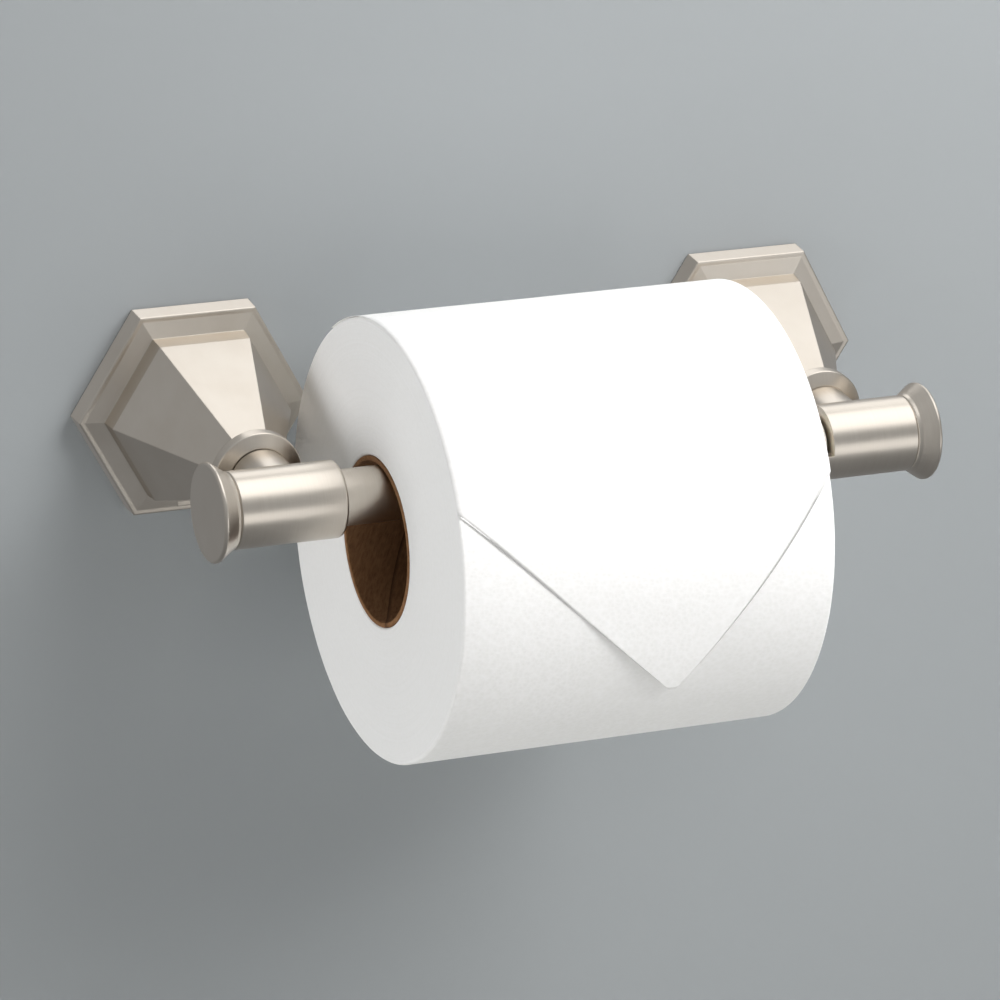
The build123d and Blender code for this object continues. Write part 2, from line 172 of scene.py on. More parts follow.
def hardware_metal(name, dark, light, low_gloss, high_gloss, spot):
    """Plated or passivated hardware: a dull metal whose spangle breaks up its reflections."""
    material, tree, shader = start_material(name, Metallic=1.0)
    spangle_place = scaled_place(tree, (per_mm(spot),) * 3)
    spangle = add(tree, "ShaderNodeTexVoronoi", {"Vector": spangle_place, "Scale": 1.0})
    cloud_place = scaled_place(tree, (per_mm(3.0),) * 3)
    cloud = add(tree, "ShaderNodeTexNoise", {"Vector": cloud_place, "Scale": 1.0})
    both = {0: spangle.outputs["Distance"], 1: cloud.outputs["Fac"]}
    mixed = add(tree, "ShaderNodeMath", both, operation="MULTIPLY")
    level = add(tree, "ShaderNodeMapRange", {0: mixed.outputs[0], 1: 0.0, 2: 0.5}).outputs[0]
    tone = add(tree, "ShaderNodeMix", {0: level, 6: linear(dark), 7: linear(light)}, data_type="RGBA")
    gloss = add(tree, "ShaderNodeMapRange", {0: mixed.outputs[0], 2: 0.5, 3: low_gloss, 4: high_gloss})
    bump = add(tree, "ShaderNodeBump", {"Height": mixed.outputs[0], "Strength": 0.2, "Distance": 0.05 * MM})
    tree.links.new(tone.outputs[2], shader.inputs["Base Color"])
    tree.links.new(gloss.outputs[0], shader.inputs["Roughness"])
    tree.links.new(bump.outputs["Normal"], shader.inputs["Normal"])
    return material


def moulded_nylon():
    """Natural nylon, injection moulded: an off-white, slightly waxy plastic with a fine spark-eroded
    grain."""
    material, tree, shader = start_material("nylon_moulded", IOR=1.53, Roughness=0.45, Subsurface_Weight=0.1)
    shader.inputs["Subsurface Scale"].default_value = 1.0 * MM
    grit_place = scaled_place(tree, (per_mm(0.4),) * 3)
    grit = add(tree, "ShaderNodeTexNoise", {"Vector": grit_place, "Scale": 1.0, "Detail": 4.0})
    tones = {0: grit.outputs["Fac"], 6: linear("#D9D5C8"), 7: linear("#EAE7DC")}
    tone = add(tree, "ShaderNodeMix", tones, data_type="RGBA")
    bump_values = {"Height": grit.outputs["Fac"], "Strength": 0.25, "Distance": 0.04 * MM}
    bump = add(tree, "ShaderNodeBump", bump_values)
    tree.links.new(tone.outputs[2], shader.inputs["Base Color"])
    tree.links.new(bump.outputs["Normal"], shader.inputs["Normal"])
    return material


def around_roll(tree):
    """Places on the roll: along its axis, round it at its outer radius, and out from its axis, in metres."""
    place = add(tree, "ShaderNodeTexCoord").outputs["Object"]
    moved = add(tree, "ShaderNodeVectorMath", {0: place, 1: tuple(ROLL_CENTRE)}, operation="SUBTRACT")
    parts = add(tree, "ShaderNodeSeparateXYZ", {0: moved.outputs[0]})
    back = add(tree, "ShaderNodeMath", {0: parts.outputs["Y"], 1: -1.0}, operation="MULTIPLY")
    # The join of the angle lies at the back, where nothing shows it
    angle = add(tree, "ShaderNodeMath", {0: parts.outputs["Z"], 1: back.outputs[0]}, operation="ARCTAN2")
    arc = add(tree, "ShaderNodeMath", {0: angle.outputs[0], 1: ROLL_RADIUS}, operation="MULTIPLY")
    flat = add(tree, "ShaderNodeCombineXYZ", {"Y": parts.outputs["Y"], "Z": parts.outputs["Z"]})
    out = add(tree, "ShaderNodeVectorMath", {0: flat.outputs[0]}, operation="LENGTH")
    return parts.outputs["X"], arc.outputs[0], out.outputs["Value"]


def creped_tissue(colours):
    """Two-ply bath tissue, creped and lightly embossed: a matt white with short fine wrinkles that run
    along the roll, drawn a little darker in their hollows as painted shade. On the ends the edges of the
    plies show as close soft rings, with the same painted shade between them."""
    material, tree, shader = start_material("tissue_creped", Roughness=0.92, IOR=1.45)
    along, arc, out = around_roll(tree)
    web = add(tree, "ShaderNodeCombineXYZ", {"X": along, "Y": arc}).outputs[0]
    # Crepe is about 0.2 mm apart, drawn at 0.6 mm so that it shows
    crepe_scale = (per_mm(2.2), per_mm(0.6), 0.0)
    crepe_place = add(tree, "ShaderNodeVectorMath", {0: web, 1: crepe_scale}, operation="MULTIPLY")
    crepe_values = {"Vector": crepe_place.outputs[0], "Scale": 1.0, "Detail": 4.0, "Roughness": 0.65}
    crepe = add(tree, "ShaderNodeTexNoise", crepe_values)
    emboss_scale = (per_mm(1.3), per_mm(1.1), 0.0)
    emboss_place = add(tree, "ShaderNodeVectorMath", {0: web, 1: emboss_scale}, operation="MULTIPLY")
    emboss = add(tree, "ShaderNodeTexVoronoi", {"Vector": emboss_place.outputs[0], "Scale": 1.0})
    face_heights = {0: crepe.outputs["Fac"], 1: emboss.outputs["Distance"]}
    face = add(tree, "ShaderNodeMath", face_heights, operation="ADD")
    # Plies are 0.1 mm thick, drawn as rings about 0.7 mm apart so that they show
    ring_place = add(tree, "ShaderNodeMath", {0: out, 1: per_mm(0.7)}, operation="MULTIPLY")
    ring_values = {"W": ring_place.outputs[0], "Scale": 1.0, "Detail": 3.0, "Roughness": 0.7}
    rings = add(tree, "ShaderNodeTexNoise", ring_values, noise_dimensions="1D")
    fluff_place = scaled_place(tree, (per_mm(1.2),) * 3)
    fluff = add(tree, "ShaderNodeTexNoise", {"Vector": fluff_place, "Scale": 1.0, "Detail": 4.0})
    edge = add(tree, "ShaderNodeMath", {0: rings.outputs["Fac"], 1: fluff.outputs["Fac"]}, operation="ADD")
    # The roll's ends are the faces that look along its axis
    normal = add(tree, "ShaderNodeTexCoord").outputs["Normal"]
    facing = add(tree, "ShaderNodeSeparateXYZ", {0: normal})
    ends = add(tree, "ShaderNodeMath", {0: facing.outputs["X"]}, operation="ABSOLUTE")
    on_end = add(tree, "ShaderNodeMapRange", {0: ends.outputs[0], 1: 0.6, 2: 0.9}).outputs[0]
    heights = {0: on_end, 2: face.outputs[0], 3: edge.outputs[0]}
    height = add(tree, "ShaderNodeMix", heights, data_type="FLOAT").outputs[0]
    # The tissue's colour follows the same heights as its bump and is darker where they are low: painted shade
    # in the hollows of the crepe and emboss, and between the ply rings on the ends
    shade = add(tree, "ShaderNodeMapRange", {0: height, 1: 0.5, 2: 1.5}).outputs[0]
    tone = add(tree, "ShaderNodeMix", {0: shade, 6: colours["dark"], 7: colours["light"]}, data_type="RGBA")
    bump = add(tree, "ShaderNodeBump", {"Height": height, "Strength": 0.22, "Distance": 0.20 * MM})
    tree.links.new(tone.outputs[2], shader.inputs["Base Color"])
    tree.links.new(bump.outputs["Normal"], shader.inputs["Normal"])
    return material


def kraft_board(colours):
    """Recycled kraft board, wound in a spiral and glued: matt brown with long fibres, darker specks and
    the lines where one strip's edge meets the next."""
    material, tree, shader = start_material("kraft_board_wound", Roughness=0.88, IOR=1.45)
    along, arc, out = around_roll(tree)
    # Strips climb by their own width for each turn round the tube
    strip_width = 62.0
    rate = strip_width * MM / (2 * math.pi * ROLL_RADIUS)
    turn = add(tree, "ShaderNodeMath", {0: arc, 1: rate}, operation="MULTIPLY")
    climb = add(tree, "ShaderNodeMath", {0: along, 1: turn.outputs[0]}, operation="ADD").outputs[0]
    strip = add(tree, "ShaderNodeMath", {0: climb, 1: per_mm(strip_width)}, operation="MULTIPLY")
    within = add(tree, "ShaderNodeMath", {0: strip.outputs[0]}, operation="FRACT").outputs[0]
    seam = add(tree, "ShaderNodeMapRange", {0: within, 1: 0.0, 2: 0.02, 3: 1.0, 4: 0.0}).outputs[0]
    fibre_place = add(tree, "ShaderNodeCombineXYZ", {"X": climb, "Y": arc, "Z": out}).outputs[0]
    fibre_scale = {0: fibre_place, 1: (per_mm(0.7), per_mm(6.0), per_mm(1.0))}
    scaled = add(tree, "ShaderNodeVectorMath", fibre_scale, operation="MULTIPLY")
    fibre_values = {"Vector": scaled.outputs[0], "Scale": 1.0, "Detail": 5.0, "Roughness": 0.7}
    fibres = add(tree, "ShaderNodeTexNoise", fibre_values).outputs["Fac"]
    shade = add(tree, "ShaderNodeMapRange", {0: fibres, 1: 0.3, 2: 0.7}).outputs[0]
    tone = add(tree, "ShaderNodeMix", {0: shade, 6: colours["dark"], 7: colours["light"]}, data_type="RGBA")
    lined = add(tree, "ShaderNodeMix", {0: seam, 6: tone.outputs[2], 7: colours["seam"]}, data_type="RGBA")
    raised = add(tree, "ShaderNodeMath", {0: fibres, 1: seam}, operation="SUBTRACT")
    bump = add(tree, "ShaderNodeBump", {"Height": raised.outputs[0], "Strength": 0.5, "Distance": 0.12 * MM})
    tree.links.new(lined.outputs[2], shader.inputs["Base Color"])
    tree.links.new(bump.outputs["Normal"], shader.inputs["Normal"])
    return material


def one_sided_paint(name, colour, grain):
    """Matt emulsion paint with a fine roller texture. Its back is see-through, so that the holder shows
    from behind the wall or below the floor."""
    material, tree, shader = start_material(name, Roughness=0.85)
    shader.inputs["Base Color"].default_value = colour
    roller_place = scaled_place(tree, (per_mm(grain),) * 3)
    roller = add(tree, "ShaderNodeTexNoise", {"Vector": roller_place, "Scale": 1.0, "Detail": 3.0})
    bump_values = {"Height": roller.outputs["Fac"], "Strength": 0.05, "Distance": 0.2 * MM}
    bump = add(tree, "ShaderNodeBump", bump_values)
    tree.links.new(bump.outputs["Normal"], shader.inputs["Normal"])
    behind = add(tree, "ShaderNodeNewGeometry").outputs["Backfacing"]
    clear = add(tree, "ShaderNodeBsdfTransparent")
    mix = add(tree, "ShaderNodeMixShader", {0: behind, 1: shader.outputs["BSDF"], 2: clear.outputs["BSDF"]})
    output = next(n for n in tree.nodes if n.type == "OUTPUT_MATERIAL")
    tree.links.new(mix.outputs[0], output.inputs["Surface"])
    return material


# Sizes and colours that a user can change


class HolderFinish(bpy.types.PropertyGroup):
    nickel_light: FloatVectorProperty(
        name="Nickel",
        description="Colour of the satin nickel where it is cleanest",
        subtype="COLOR",
        size=4,
        default=linear("#DBD3C8"),
    )
    nickel_dark: FloatVectorProperty(
        name="Nickel film",
        description="Colour of the satin nickel where it is cloudy",
        subtype="COLOR",
        size=4,
        default=linear("#D5CCC0"),
    )
    tissue_light: FloatVectorProperty(
        name="Tissue",
        description="Colour of the tissue's raised parts",
        subtype="COLOR",
        size=4,
        default=linear("#F7F6F5"),
    )
    # Painted shade: the tissue is drawn in this darker colour in the hollows of its crepe and emboss, and
    # between its ply rings
    tissue_hollow_shade: FloatVectorProperty(
        name="Tissue hollows",
        description="Colour of the tissue's wrinkles",
        subtype="COLOR",
        size=4,
        default=linear("#F1F0EE"),
    )
    board_light: FloatVectorProperty(
        name="Kraft board",
        description="Colour of the core's lighter fibres",
        subtype="COLOR",
        size=4,
        default=linear("#9A7350"),
    )
    board_dark: FloatVectorProperty(
        name="Kraft board fibres",
        description="Colour of the core's darker fibres",
        subtype="COLOR",
        size=4,
        default=linear("#6E4B30"),
    )
    board_seam: FloatVectorProperty(
        name="Kraft seam",
        description="Colour of the line between two strips of board",
        subtype="COLOR",
        size=4,
        default=linear("#4A2F1C"),
    )


class HolderRoll(bpy.types.PropertyGroup):
    rim_radius: FloatProperty(
        name="Rim", description="Roundness of the paper's two rims", unit="LENGTH", default=0.8 * MM, min=0.0
    )
    end_waves: FloatProperty(
        name="End waves",
        description="Unevenness of the wound ends",
        unit="LENGTH",
        default=0.35 * MM,
        min=0.0,
    )
    core_wall: FloatProperty(
        name="Core wall",
        description="Thickness of the cardboard core",
        unit="LENGTH",
        default=1.3 * MM,
        min=0.0005,
    )
    around: IntProperty(name="Around", description="Faces round the roll", default=192, min=24, max=360)
    wave_seed: IntProperty(name="Wave seed", description="Which set of waves the ends have", default=7)


class HolderTail(bpy.types.PropertyGroup):
    tip_x: FloatProperty(
        name="Tip", description="Place of the folded tip along the arm", unit="LENGTH", default=5.2 * MM
    )
    fold_angle: FloatProperty(
        name="Fold",
        description="Angle above level where the folds leave the rims",
        unit="ROTATION",
        default=0.501,
    )
    tip_angle: FloatProperty(
        name="Tip angle",
        description="Angle below level that the tip reaches",
        unit="ROTATION",
        default=-0.436,
    )
    start_angle: FloatProperty(
        name="Start angle", description="Angle at which the loose turn begins", unit="ROTATION", default=2.234
    )
    ply: FloatProperty(
        name="Ply", description="Thickness of the sheet", unit="LENGTH", default=0.10 * MM, min=0.00002
    )
    hang: FloatProperty(
        name="Hang",
        description="How straight the tail hangs, from 0, on the roll, to 1",
        default=0.4,
        min=0.0,
        max=1.0,
    )
    ripple: FloatProperty(
        name="Ripple",
        description="Height of the sheet's soft waves",
        unit="LENGTH",
        default=0.12 * MM,
        min=0.0,
    )


class HolderStage(bpy.types.PropertyGroup):
    azimuth: FloatProperty(
        name="Azimuth",
        description="Camera's angle round the holder",
        unit="ROTATION",
        default=math.radians(-24.57),
    )
    elevation: FloatProperty(
        name="Elevation",
        description="Camera's angle above level",
        unit="ROTATION",
        default=math.radians(22.64),
    )
    tilt: FloatProperty(
        name="Tilt",
        description="Camera's turn about its own line of sight",
        unit="ROTATION",
        default=math.radians(3.28),
    )
    distance: FloatProperty(
        name="Distance", description="Camera to its target", unit="LENGTH", default=1.4326, min=0.1
    )
    lens: FloatProperty(name="Lens", description="Focal length in millimetres", default=199.1, min=10.0)
    target: FloatVectorProperty(
        name="Target",
        description="Point that the camera looks at",
        subtype="TRANSLATION",
        default=(-0.0109, -0.05, -0.0151),
    )
    wall_colour: FloatVectorProperty(
        name="Wall",
        description="Colour of the painted wall",
        subtype="COLOR",
        size=4,
        default=linear("#9FA3A5"),
    )
    floor_colour: FloatVectorProperty(
        name="Floor", description="Colour of the floor", subtype="COLOR", size=4, default=linear("#E6E6E3")
    )
    floor_drop: FloatProperty(
        name="Floor drop", description="Floor below the arm", unit="LENGTH", default=0.42, min=0.1
    )


# Making pieces


def publish(mesh, name, body, material, replaced):
    """Turns a finished mesh into a piece of the holder."""
    piece = bpy.data.objects.new(name, mesh)
    bpy.context.scene.collection.objects.link(piece)
    mesh.name = name
    mesh.materials.clear()
    mesh.materials.append(material)
    mesh.shade_smooth()
    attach(piece, body)
    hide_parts(*replaced)
    return piece


def wound_tube_nodes():
    """Node tree of a wound tube: a rounded wall swept round a circle, with soft waves on its ends."""
    tree = bpy.data.node_groups.new("wound_tube", "GeometryNodeTree")
    tree.interface.new_socket("Geometry", in_out="OUTPUT", socket_type="NodeSocketGeometry")
    floats = ("Inner Radius", "Outer Radius", "Width", "Rim Radius", "Wave Height", "Wave Length")
    for name in floats:
        tree.interface.new_socket(name, in_out="INPUT", socket_type="NodeSocketFloat")
    tree.interface.new_socket("Around", in_out="INPUT", socket_type="NodeSocketInt")
    tree.interface.new_socket("Seed", in_out="INPUT", socket_type="NodeSocketInt")
    tree.interface.new_socket("Centre", in_out="INPUT", socket_type="NodeSocketVector")
    tree.interface.new_socket("Finish", in_out="INPUT", socket_type="NodeSocketMaterial")
    given = add(tree, "NodeGroupInput").outputs
    radii = {0: given["Outer Radius"], 1: given["Inner Radius"]}
    span = add(tree, "ShaderNodeMath", radii, operation="SUBTRACT")
    total = add(tree, "ShaderNodeMath", radii, operation="ADD")
    middle = add(tree, "ShaderNodeMath", {0: total.outputs[0], 1: 0.5}, operation="MULTIPLY")
    path = add(
        tree,
        "GeometryNodeCurvePrimitiveCircle",
        {"Resolution": given["Around"], "Radius": middle.outputs[0]},
    )
    wall = add(
        tree,
        "GeometryNodeCurvePrimitiveQuadrilateral",
        {"Width": span.outputs[0], "Height": given["Width"]},
    )
    rounded = add(
        tree,
        "GeometryNodeFilletCurve",
        {"Curve": wall.outputs[0], "Count": 4, "Radius": given["Rim Radius"], "Limit Radius": True},
        mode="POLY",
    )
    cut = add(tree, "GeometryNodeSubdivideCurve", {"Curve": rounded.outputs[0], "Cuts": 6})
    swept = add(tree, "GeometryNodeCurveToMesh", {"Curve": path.outputs[0], "Profile Curve": cut.outputs[0]})
    place = add(tree, "GeometryNodeInputPosition")
    length = add(tree, "ShaderNodeMath", {0: 1.0, 1: given["Wave Length"]}, operation="DIVIDE")
    waves = add(
        tree,
        "ShaderNodeTexNoise",
        {"Vector": place.outputs[0], "W": given["Seed"], "Scale": length.outputs[0], "Detail": 2.0},
        noise_dimensions="4D",
    )
    centred = add(tree, "ShaderNodeMath", {0: waves.outputs["Fac"], 1: 0.5}, operation="SUBTRACT")
    waved = {0: centred.outputs[0], 1: given["Wave Height"]}
    height = add(tree, "ShaderNodeMath", waved, operation="MULTIPLY")
    normal = add(tree, "GeometryNodeInputNormal")
    parts = add(tree, "ShaderNodeSeparateXYZ", {0: normal.outputs[0]})
    lift = add(tree, "ShaderNodeMath", {0: parts.outputs["Z"], 1: height.outputs[0]}, operation="MULTIPLY")
    offset = add(tree, "ShaderNodeCombineXYZ", {"Z": lift.outputs[0]})
    moved = add(tree, "GeometryNodeSetPosition", {"Geometry": swept.outputs[0], "Offset": offset.outputs[0]})
    placed = add(
        tree,
        "GeometryNodeTransform",
        {"Geometry": moved.outputs[0], "Translation": given["Centre"], "Rotation": (0.0, math.pi / 2, 0.0)},
    )
    whole = add(tree, "GeometryNodeRealizeInstances", {"Geometry": placed.outputs[0]})
    finished = add(
        tree, "GeometryNodeSetMaterial", {"Geometry": whole.outputs[0], "Material": given["Finish"]}
    )
    add(tree, "NodeGroupOutput", {0: finished.outputs[0]})
    return tree


def run_nodes(tree, values):
    """The mesh that a node tree makes from these inputs, as a plain mesh."""
    holder = bpy.data.objects.new("nodes", bpy.data.meshes.new("nodes"))
    bpy.context.scene.collection.objects.link(holder)
    modifier = holder.modifiers.new("nodes", "NODES")
    modifier.node_group = tree
    for socket in tree.interface.items_tree:
        if socket.in_out == "INPUT":
            modifier[socket.identifier] = values[socket.name]
    graph = bpy.context.evaluated_depsgraph_get()
    mesh = bpy.data.meshes.new_from_object(holder.evaluated_get(graph))
    holder.modifiers.clear()
    bpy.data.objects.remove(holder)
    return mesh


def paint_nodes(material, names):
    """Gives CAD nodes a finish."""
    for name in names:
        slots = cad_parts[name].material_slots
        for slot in slots:
            slot.material = material
        if not slots:
            raise RuntimeError(f"{name} has no material slot")


class HOLDER_OT_finish_nickel(bpy.types.Operator):
    """Gives the posts, collars, necks, barrels, caps and rod their satin nickel"""

    bl_idname = "holder.finish_nickel"
    bl_label = "Satin nickel"

    def execute(self, context):
        finish = context.scene.holder_finish
        colours = {"light": tuple(finish.nickel_light), "dark": tuple(finish.nickel_dark)}
        paint_nodes(cast_nickel(colours), ("left_post", "right_post"))
        turned = ("left_collar", "right_collar", "pivot_neck", "right_neck", "left_barrel", "right_barrel")
        paint_nodes(turned_nickel(colours), (*turned, "left_end_cap", "right_end_cap", "arm_rod"))
        return {"FINISHED"}


class HOLDER_OT_finish_hardware(bpy.types.Operator):
    """Gives the brackets, screws, washers and plastic parts their finishes"""

    bl_idname = "holder.finish_hardware"
    bl_label = "Hardware"

    def execute(self, context):
        # Zinc plate, bright passivated: grey with a faint spangle
        zinc = hardware_metal("zinc_plated", "#8E9196", "#B9BCC0", 0.35, 0.5, 2.2)
        # Hardened steel wire, rolled into screws and lightly plated: brighter, with fine marks
        steel = hardware_metal("steel_plated", "#A6A8AB", "#CFD0D2", 0.25, 0.4, 0.6)
        paint_nodes(zinc, ("left_wall_bracket", "right_wall_bracket"))
        screws = ("left_bracket_screws", "right_bracket_screws", "left_set_screw", "right_set_screw")
        paint_nodes(steel, (*screws, "pivot_washer", "pivot_screw", "right_lock_washer", "right_neck_screw"))
        paint_nodes(moulded_nylon(), ("pivot_bush", "friction_washer", "rest_pad", "rod_end_plug"))
        return {"FINISHED"}


class HOLDER_OT_make_roll(bpy.types.Operator):
    """Makes the cardboard core and the paper wound on it"""

    bl_idname = "holder.make_roll"
    bl_label = "Core and paper"

    def execute(self, context):
        roll = context.scene.holder_roll
        finish = context.scene.holder_finish
        tissue = creped_tissue({"light": tuple(finish.tissue_light), "dark": tuple(finish.tissue_hollow_shade)})
        board_colours = {
            "light": tuple(finish.board_light),
            "dark": tuple(finish.board_dark),
            "seam": tuple(finish.board_seam),
        }
        board = kraft_board(board_colours)
        core_radius = (CORE_HIGH.z - CORE_LOW.z) / 2
        tree = wound_tube_nodes()
        shared = {"Around": roll.around, "Seed": roll.wave_seed, "Centre": ROLL_CENTRE}
        core = run_nodes(
            tree,
            {
                "Inner Radius": core_radius - roll.core_wall,
                "Outer Radius": core_radius,
                "Width": ROLL_WIDTH,
                "Rim Radius": 0.35 * MM,
                "Wave Height": 0.3 * MM,
                "Wave Length": 12.0 * MM,
                "Finish": board,
                **shared,
            },
        )
        paper = run_nodes(
            tree,
            {
                "Inner Radius": core_radius + 0.02 * MM,
                "Outer Radius": ROLL_RADIUS,
                "Width": ROLL_WIDTH,
                "Rim Radius": roll.rim_radius,
                "Wave Height": roll.end_waves,
                "Wave Length": 16.0 * MM,
                "Finish": tissue,
                **shared,
            },
        )
        publish(core, "wound_core", "roll", board, ("cardboard_core",))
        publish(paper, "wound_paper", "roll", tissue, ("paper_roll",))
        return {"FINISHED"}


def tail_section(tail):
    """The tail's curve from its start to its tip: places and outward directions at each length along it."""
    lie = ROLL_RADIUS + TAIL_GAP
    foot = ROLL_RADIUS + TAIL_START_GAP
    places = []
    angle = tail.start_angle
    travelled = 0.0
    while angle > TAIL_LEAVES:
        settle = min(1.0, (tail.start_angle - angle) / TAIL_SETTLES)
        radius = foot + (lie - foot) * settle
        out = Vector((0.0, -math.cos(angle), math.sin(angle)))
        places.append((travelled, out * radius, out))
        travelled += radius * TAIL_STEP
        angle -= TAIL_STEP
    out = Vector((0.0, -math.cos(angle), math.sin(angle)))
    point = out * lie
    end = lie * (tail.start_angle - tail.tip_angle)
    slack = 1.0 - tail.hang
    while travelled < end + lie * TAIL_STEP / 2:
        places.append((travelled, point.copy(), out.copy()))
        length = min(lie * TAIL_STEP, max(end - travelled, 1e-9))
        angle -= TAIL_STEP * slack
        down = Vector((0.0, -math.sin(angle), -math.cos(angle)))
        point = point + down * length
        out = Vector((0.0, -math.cos(angle), math.sin(angle)))
        travelled += lie * TAIL_STEP
    return places


def tail_mesh(tail, places):
    """The tail's sheet, without thickness: rows across the curve, their ends turned under at the folds."""
    lengths = [place[0] for place in places]
    tip_length = lengths[-1]
    fold_length = (ROLL_RADIUS + TAIL_GAP) * (tail.start_angle - tail.fold_angle)
    left_x, right_x, tip_half = TAIL_LOW.x, TAIL_HIGH.x, 0.9 * MM

    def towards_tip(length):
        """How far a length is along the folds, from 0 at the rims to 1 at the tip."""
        return min(max((length - fold_length) / (tip_length - fold_length), 0.0), 1.0)

    def on_curve(length):
        """The place and outward direction at a length along the tail."""
        length = min(max(length, 0.0), tip_length)
        index = max(i for i, value in enumerate(lengths) if value <= length + 1e-9)
        after = min(index + 1, len(places) - 1)
        share = 0.0 if after == index else (length - lengths[index]) / (lengths[after] - lengths[index])
        point = places[index][1].lerp(places[after][1], share)
        return point, places[index][2].lerp(places[after][2], share).normalized()

    def fold(x, length, side):
        """Where a flat point beyond a fold lies once its corner is turned under."""
        corner = Vector((left_x if side < 0 else right_x, fold_length))
        tip = Vector((tail.tip_x + side * tip_half, tip_length))
        along = (tip - corner).normalized()
        from_corner = Vector((x, length)) - corner
        across = from_corner - along * from_corner.dot(along)
        return corner + from_corner - 2 * across, across.length

    columns, under = 56, 14
    mesh = bmesh.new()
    rows = []
    for length in lengths:
        share = towards_tip(length)
        left = left_x + (tail.tip_x - tip_half - left_x) * share
        right = right_x + (tail.tip_x + tip_half - right_x) * share
        flat = [(left_x + (left - left_x) * i / under, -1) for i in range(under)]
        flat += [(left + (right - left) * i / columns, 0) for i in range(columns + 1)]
        flat += [(right + (right_x - right) * (i + 1) / under, 1) for i in range(under)]
        row = []
        for x, side in flat:
            at, depth = Vector((x, length)), 0.0
            if side and share > 0.0:
                at, across = fold(x, length, side)
                depth = -FOLD_DEPTHS[side] * min(1.0, across / FOLD_RISE)
            point, out = on_curve(at.y)
            wave = noise.noise(Vector((at.x / RIPPLE_ALONG, at.y / RIPPLE_DOWN, RIPPLE_SEED)))
            wave *= tail.ripple * (0.4 + 1.8 * towards_tip(at.y))
            across_roll = Vector((at.x - ROLL_CENTRE.x, 0, 0))
            row.append(mesh.verts.new(ROLL_CENTRE + across_roll + point + out * (depth + wave)))
        rows.append(row)
    for above, below in zip(rows, rows[1:]):
        for i in range(len(above) - 1):
            mesh.faces.new((above[i], below[i], below[i + 1], above[i + 1]))
    bmesh.ops.remove_doubles(mesh, verts=mesh.verts, dist=0.00001)
    bmesh.ops.dissolve_degenerate(mesh, edges=mesh.edges, dist=0.000001)
    sheet_mesh = bpy.data.meshes.new("tail")
    mesh.to_mesh(sheet_mesh)
    mesh.free()
    return sheet_mesh


class HOLDER_OT_make_tail(bpy.types.Operator):
    """Makes the loose end of the paper, its two corners folded under to a point"""

    bl_idname = "holder.make_tail"
    bl_label = "Folded tail"

    def execute(self, context):
        tail = context.scene.holder_tail
        places = tail_section(tail)
        tissue = bpy.data.materials["tissue_creped"]
        sheet = publish(tail_mesh(tail, places), "folded_tail", "roll", tissue, ("paper_tail",))
        thick = sheet.modifiers.new("ply", "SOLIDIFY")
        thick.thickness = tail.ply
        thick.offset = 0.0
        return {"FINISHED"}


# Stage


def area_light(name, place, aim, size_x, size_y, power, mirrored):
    """A soft rectangular light, which shows in the metal only if it is mirrored."""
    light = bpy.data.lights.new(name, "AREA")
    light.shape = "RECTANGLE"
    light.size, light.size_y = size_x, size_y
    light.energy = power
    lamp = bpy.data.objects.new(name, light)
    bpy.context.scene.collection.objects.link(lamp)
    lamp.location = place
    lamp.rotation_euler = (Vector(aim) - Vector(place)).to_track_quat("-Z", "Y").to_euler()
    lamp.visible_camera = False
    lamp.visible_glossy = mirrored


def stage_plane(name, corners, material):
    """A flat rectangle of the room, which throws no shadow."""
    mesh = bpy.data.meshes.new(name)
    mesh.from_pydata(corners, [], [(0, 1, 2, 3)])
    mesh.materials.append(material)
    plane = bpy.data.objects.new(name, mesh)
    bpy.context.scene.collection.objects.link(plane)
    plane.visible_shadow = False
    # The metal shows the studio and its lights rather than the planes close to it
    plane.visible_glossy = False


def studio_world(scene):
    """The room's light: a pale backdrop for the camera, a dim glow on the object, and for the metal a
    room that is brighter above than below."""
    world = bpy.data.worlds.new("studio")
    scene.world = world
    world.use_nodes = True
    tree = world.node_tree
    tree.nodes.clear()
    ray = add(tree, "ShaderNodeLightPath").outputs
    seen = add(tree, "ShaderNodeBackground", {"Color": linear("#D2D3D4"), "Strength": 1.0}).outputs[0]
    glow = add(tree, "ShaderNodeBackground", {"Color": linear("#F4F6F8"), "Strength": 0.08}).outputs[0]
    direction = add(tree, "ShaderNodeTexCoord").outputs["Generated"]
    rise = add(tree, "ShaderNodeSeparateXYZ", {0: direction}).outputs["Z"]
    levels = {0: rise, 1: -1.0, 2: 1.0, 3: ROOM_BELOW, 4: ROOM_ABOVE}
    level = add(tree, "ShaderNodeMapRange", levels).outputs[0]
    room = add(tree, "ShaderNodeBackground", {"Color": linear("#F4F6F8"), "Strength": level}).outputs[0]
    lit = add(tree, "ShaderNodeMixShader", {0: ray["Is Glossy Ray"], 1: glow, 2: room}).outputs[0]
    mix = add(tree, "ShaderNodeMixShader", {0: ray["Is Camera Ray"], 1: lit, 2: seen}).outputs[0]
    add(tree, "ShaderNodeOutputWorld", {"Surface": mix})


def studio_camera(stage):
    """The camera, placed by its angles and distance from its target."""
    azimuth, elevation, tilt = stage.azimuth, stage.elevation, stage.tilt
    level = math.cos(elevation)
    ahead = Vector((-math.sin(azimuth) * level, math.cos(azimuth) * level, -math.sin(elevation)))
    side = ahead.cross(Vector((0.0, 0.0, 1.0))).normalized()
    upright = side.cross(ahead)
    right = side * math.cos(tilt) + upright * math.sin(tilt)
    up = upright * math.cos(tilt) - side * math.sin(tilt)
    camera_data = bpy.data.cameras.new("camera")
    camera_data.lens = stage.lens
    camera = bpy.data.objects.new("camera", camera_data)
    bpy.context.scene.collection.objects.link(camera)
    turn = Matrix((right, up, -ahead)).transposed().to_4x4()
    camera.matrix_world = Matrix.Translation(Vector(stage.target) - ahead * stage.distance) @ turn
    return camera


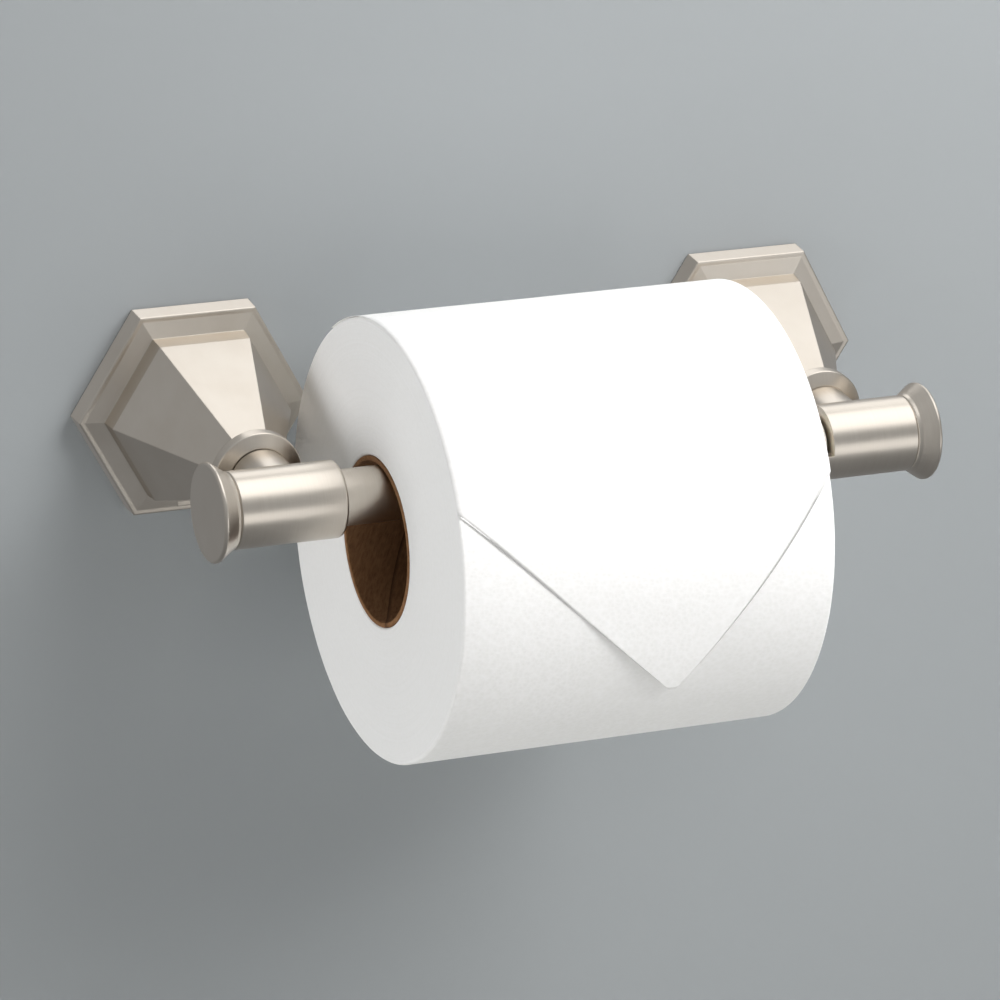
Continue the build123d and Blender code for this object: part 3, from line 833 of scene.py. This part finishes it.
class HOLDER_OT_make_stage(bpy.types.Operator):
    """Makes the wall, the floor, the soft studio light and the camera"""

    bl_idname = "holder.make_stage"
    bl_label = "Stage"

    def execute(self, context):
        stage = context.scene.holder_stage
        floor_z = -stage.floor_drop
        square = ((-1, -1), (1, -1), (1, 1), (-1, 1))
        wall_corners = [(x * REACH, WALL_Y, REACH if z > 0 else floor_z) for x, z in square]
        floor_corners = [(x * REACH, y * REACH, floor_z) for x, y in square]
        stage_plane("wall", wall_corners, one_sided_paint("wall_emulsion", tuple(stage.wall_colour), 1.4))
        stage_plane("floor", floor_corners, one_sided_paint("floor_paint", tuple(stage.floor_colour), 3.0))

        centre = (0.02, -0.04, 0.0)
        area_light("overhead_softbox", (0.42, -0.16, 1.05), centre, 1.2, 1.4, 7.1, True)
        area_light("front_panel", (0.85, -1.75, -0.20), centre, 1.5, 0.9, 4.1, True)
        area_light("key", (0.30, -0.45, 0.50), centre, 0.45, 0.45, 5.0, False)
        area_light("side_fill", (-1.3, -0.05, 0.1), centre, 0.9, 0.7, 8.4, False)
        area_light("front_fill", (-0.2, -2.0, -0.2), centre, 1.6, 1.2, 6.0, False)
        area_light("back_fill", (0.49, 0.94, 0.80), centre, 1.2, 0.7, 2.8, True)

        studio_world(context.scene)
        context.scene.view_settings.view_transform = "Standard"
        context.scene.camera = studio_camera(stage)
        return {"FINISHED"}


class HOLDER_PT_panel(bpy.types.Panel):
    bl_idname = "HOLDER_PT_panel"
    bl_label = "Toilet paper holder"
    bl_space_type = "VIEW_3D"
    bl_region_type = "UI"
    bl_category = "Paper holder"

    def draw(self, context):
        for group in ("holder_finish", "holder_roll", "holder_tail", "holder_stage"):
            box = self.layout.box()
            settings = getattr(context.scene, group)
            for name in settings.__annotations__:
                box.prop(settings, name)
        for operator in OPERATORS:
            self.layout.operator(operator.bl_idname)


GROUPS = {
    "holder_finish": HolderFinish,
    "holder_roll": HolderRoll,
    "holder_tail": HolderTail,
    "holder_stage": HolderStage,
}
OPERATORS = (
    HOLDER_OT_make_stage,
    HOLDER_OT_finish_nickel,
    HOLDER_OT_finish_hardware,
    HOLDER_OT_make_roll,
    HOLDER_OT_make_tail,
)


def register():
    for kind in (*GROUPS.values(), *OPERATORS, HOLDER_PT_panel):
        bpy.utils.register_class(kind)
    for name, kind in GROUPS.items():
        setattr(bpy.types.Scene, name, PointerProperty(type=kind))


def unregister():
    for name in GROUPS:
        delattr(bpy.types.Scene, name)
    for kind in reversed((*GROUPS.values(), *OPERATORS, HOLDER_PT_panel)):
        bpy.utils.unregister_class(kind)


def main():
    register()
    bpy.ops.holder.make_stage()
    bpy.ops.holder.finish_nickel()
    bpy.ops.holder.finish_hardware()
    bpy.ops.holder.make_roll()
    bpy.ops.holder.make_tail()


if __name__ == "__main__":
    main()
